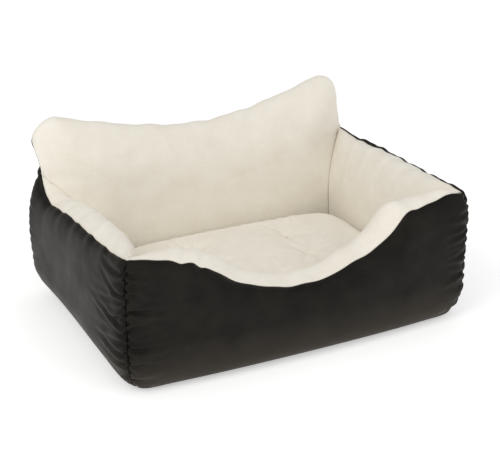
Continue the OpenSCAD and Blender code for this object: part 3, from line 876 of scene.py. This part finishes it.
def stitches(name, paths, radius, finish, body, slot_name, node):
    """Rows of single stitches along paths, each a short thread that dips in at its ends."""
    turns = np.linspace(0, 2 * math.pi, STITCH_SIDES, endpoint=False)
    points, faces = [], []
    for path in paths:
        starts = along_path(path, STITCH + STITCH_GAP)
        for a, b in zip(starts[:-1], starts[1:]):
            ahead = (b - a) / max(np.linalg.norm(b - a), 1e-9)
            across = (0.31, 0.17, 0.93) if abs(ahead[2]) < 0.8 else (0.9, 0.4, 0.1)
            beside = np.cross(ahead, across)
            beside /= np.linalg.norm(beside)
            above = np.cross(ahead, beside)
            faces += ring_faces(len(points), len(STITCH_RINGS), STITCH_SIDES)
            for share, thick in STITCH_RINGS:
                middle = a + ahead * (STITCH_GAP / 2 + share * STITCH)
                points += [middle + radius * thick * (math.cos(turn) * beside
                                                      + math.sin(turn) * above) for turn in turns]
    declare(new_object(name, points, faces, finish), body, slot_name, node)


def corner_paths(walls):
    """Up the corner seams, just outside the covers."""
    paths = []
    for kind in ("front", "back"):
        cloth, rows = walls[kind]
        for column in (cloth[0], cloth[-1]):
            line = column[2:rows - 1]
            line = line[line[:, 2] < CORNER_H - 4 * MM]
            outward = np.sign(line[:, :2]) * 0.2 * MM
            paths.append(np.concatenate([line[:, :2] + outward, line[:, 2:]], axis=1))
    return paths


def hem_path(base_grid):
    """Round the base cloth, a little inside its edge."""
    line = border_line(base_grid[..., :2]) * (1 - HEM_IN / BASE_BOX[1].y)
    return np.concatenate([line, np.full((len(line), 1), HEM_Z)], axis=1)


def cushion_path(cushion_top):
    """Round the cushion's seam, from one end of the zip to the other."""
    line = border_line(cushion_top)
    on_back = line[:, 1] > CUSHION_Y + 0.9 * CUSHION_HALF_Y
    on_zip = np.where((np.abs(line[:, 0]) < ZIP_CLEAR) & on_back)[0]
    path = np.concatenate([line[on_zip.max() + 1:], line[:on_zip.min()]])
    path[:, :2] += (path[:, :2] - (0, CUSHION_Y)) * 0.0015
    return path


# ---------------------------------------------------------------- tufts
def tube(path, radius, sides=8):
    """Rings of points along a path that never runs along the vector crossed with it."""
    ahead = np.gradient(path, axis=0)
    ahead /= np.linalg.norm(ahead, axis=1, keepdims=True)
    beside = np.cross(ahead, (0.2, 0.3, 0.93))
    beside /= np.linalg.norm(beside, axis=1, keepdims=True)
    above = np.cross(ahead, beside)
    turns = np.linspace(0, 2 * math.pi, sides, endpoint=False)
    rings = path[:, None] + radius * (np.cos(turns)[None, :, None] * beside[:, None]
                                      + np.sin(turns)[None, :, None] * above[:, None])
    return rings.reshape(-1, 3), sides


def height_at(cloth, x, y):
    far = np.hypot(cloth[..., 0] - x, cloth[..., 1] - y)
    return cloth[np.unravel_index(np.argmin(far), far.shape)][2]


def make_tufts(cushion_top, cushion_bottom):
    """Ties through the cushion, each with a knot above and below."""
    points, faces = [], []
    turn = np.linspace(0, 2 * KNOT_TURNS * math.pi, 40)
    loop = KNOT_R * (1 - 0.25 * turn / turn[-1])
    share = np.linspace(0, 1, 14)
    for number, (x, y) in enumerate(TUFTS):
        upper, lower = height_at(cushion_top, x, y), height_at(cushion_bottom, x, y)
        knot = np.stack([x + loop * np.cos(turn + number), y + loop * np.sin(turn + number),
                         upper + 0.6 * MM + KNOT_H * turn / turn[-1]], axis=1)
        foot = knot.copy()
        foot[:, 2] = max(lower + 0.2 * MM, CUSHION_LOW.z + 0.9 * MM)
        stem = np.stack([x + 0.4 * MM * np.sin(9 * share), y + 0.4 * MM * np.cos(9 * share),
                         foot[0, 2] + (upper + MM - foot[0, 2]) * share], axis=1)
        for path, radius in ((knot, 0.7 * MM), (foot, 0.7 * MM), (stem, 0.8 * MM)):
            rings, sides = tube(path, radius)
            faces += ring_faces(len(points), len(path), sides)
            points.extend(rings)
    declare(new_object("tuft_ties", points, faces, CREAM_THREAD), "cushion", "cream_thread",
            "tuft_threads")


# ---------------------------------------------------------------- zip
def zip_tape(side):
    """A tape from beside the teeth, following the cushion's side."""
    name = "upper" if side > 0 else "lower"
    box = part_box(f"zip_tape_{name}")
    near = box[0].z if side > 0 else box[1].z
    x = np.linspace(box[0].x, box[1].x, 150)[:, None]
    down = np.linspace(0, TAPE_H, 10)[None, :]
    y = box[1].y - TAPE_CURL * (down / TAPE_H) ** 2
    y = y + 0.12 * MM * np.sin(x * 400) * (down / TAPE_H)
    grid = np.stack(np.broadcast_arrays(x, y, near + side * down), axis=-1)
    grid = grid[::-1] if side > 0 else grid
    piece = cloth_piece(f"zip_tape_{name}_ribbon", grid, TAPE_T, TAPE, edge_share=0.8,
                        edge_width=MM)
    declare(piece, "cushion", "zip_tape", f"zip_tape_{name}")


def finish_zip_metal(node):
    """Gives a part of the frame its plating and rounded edges."""
    part = bpy.data.objects[node]
    for place in part.material_slots:
        place.material = METAL
    rounded = part.modifiers.new("rounded_edges", "BEVEL")
    rounded.width = 0.25 * MM
    rounded.segments = 2
    rounded.limit_method = "ANGLE"


# ---------------------------------------------------------------- all pieces
WALLS = {kind: make_wall(kind) for kind in ("front", "left", "right", "back")}
TOP_CLOTH, BOTTOM_CLOTH = make_cushion()
BASE_GRID = make_floor()

stitches("corner_seam_stitches", corner_paths(WALLS), 0.5 * MM, DARK_THREAD,
         "bed", "dark_thread", "corner_seam_threads")
stitches("rim_seam_stitches", [cloth[4:-4, rows] for cloth, rows in WALLS.values()], 0.45 * MM,
         CREAM_THREAD, "bed", "cream_thread", "rim_seam_threads")
stitches("base_hem_stitches", [hem_path(BASE_GRID)], 0.45 * MM, DARK_THREAD,
         "bed", "dark_thread", "base_seam_thread")
stitches("cushion_seam_stitches", [cushion_path(TOP_CLOTH)], 0.5 * MM, CREAM_THREAD,
         "cushion", "cream_thread", "cushion_seam_thread")
make_tufts(TOP_CLOTH, BOTTOM_CLOTH)
zip_tape(1)
zip_tape(-1)
for node in ("zip_teeth_upper", "zip_teeth_lower", "zip_stops", "zip_slider"):
    finish_zip_metal(node)


# ---------------------------------------------------------------- camera, light and floor
def aim(thing, azimuth, elevation, distance):
    """Puts a camera or light round the target, turned towards it."""
    a, e = math.radians(azimuth), math.radians(elevation)
    back = Vector((math.sin(a) * math.cos(e), -math.cos(a) * math.cos(e), math.sin(e)))
    thing.location = TARGET + distance * back
    thing.rotation_mode = "QUATERNION"
    thing.rotation_quaternion = (TARGET - thing.location).to_track_quat("-Z", "Y")
    bpy.context.scene.collection.objects.link(thing)


def soft_light(name, azimuth, elevation, distance, size, power, colour):
    light = bpy.data.lights.new(name, "AREA")
    light.shape = "DISK"
    light.size = size
    light.energy = power
    light.color = colour
    aim(bpy.data.objects.new(name, light), azimuth, elevation, distance)


camera = bpy.data.objects.new("camera", bpy.data.cameras.new("camera"))
camera.data.lens = LENS
camera.data.clip_end = 50
aim(camera, *CAMERA_AT)
bpy.context.scene.camera = camera

soft_light("key", -66, 42, 3.5, 1.8, 27, (1.0, 0.985, 0.96))
soft_light("fill", 15, 30, 3.6, 2.6, 19, (1.0, 0.99, 0.98))
soft_light("top", 10, 85, 3.6, 3.4, 2, (1.0, 0.99, 0.97))

world = bpy.data.worlds.new("studio")
world.use_nodes = True
world.node_tree.nodes["Background"].inputs["Color"].default_value = (1, 1, 1, 1)
world.node_tree.nodes["Background"].inputs["Strength"].default_value = WORLD_LIGHT
bpy.context.scene.world = world
bpy.context.scene.view_settings.view_transform = "Standard"

CORNERS = [(-FLOOR_HALF, -FLOOR_HALF, 0), (FLOOR_HALF, -FLOOR_HALF, 0),
           (FLOOR_HALF, FLOOR_HALF, 0), (-FLOOR_HALF, FLOOR_HALF, 0)]
floor = new_object("floor", CORNERS, [(0, 1, 2, 3)], material("floor", floor_finish))
